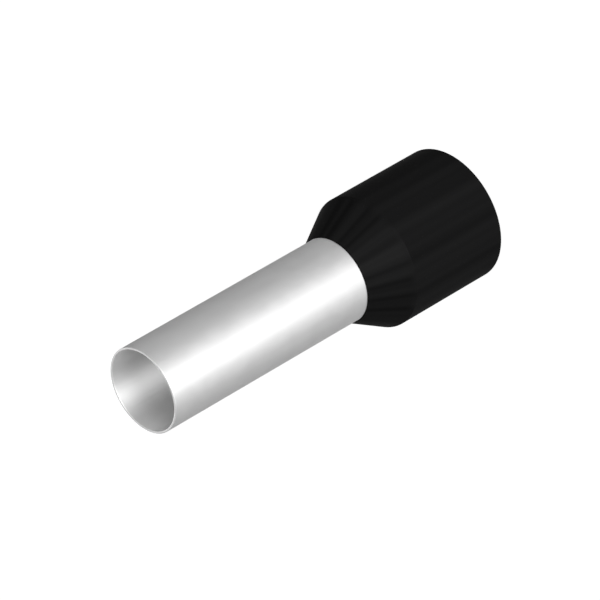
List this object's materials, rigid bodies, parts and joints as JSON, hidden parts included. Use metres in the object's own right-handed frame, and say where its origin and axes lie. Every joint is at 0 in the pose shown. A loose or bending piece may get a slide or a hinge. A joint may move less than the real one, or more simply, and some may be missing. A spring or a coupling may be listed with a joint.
{
  "type": "wire ferrule",
  "caption": "Insulated crimp ferrule: a thin tinned tube whose belled rear end sits in the tapered throat of a black plastic collar.",
  "frame": {"origin": "centre of the collar's rear rim, where the wire goes in", "axes": "+Z along the ferrule's axis, from the collar's rim to the open tip of the metal sleeve; it is round about Z"},
  "size_m": [0.012, 0.012, 0.036],
  "materials": {
    "tinned_copper": "satin",
    "black_plastic": "satin"
  },
  "bodies": {
    "root": {"metal_sleeve": "tinned_copper", "plastic_collar": "black_plastic"}
  },
  "joints": []
}
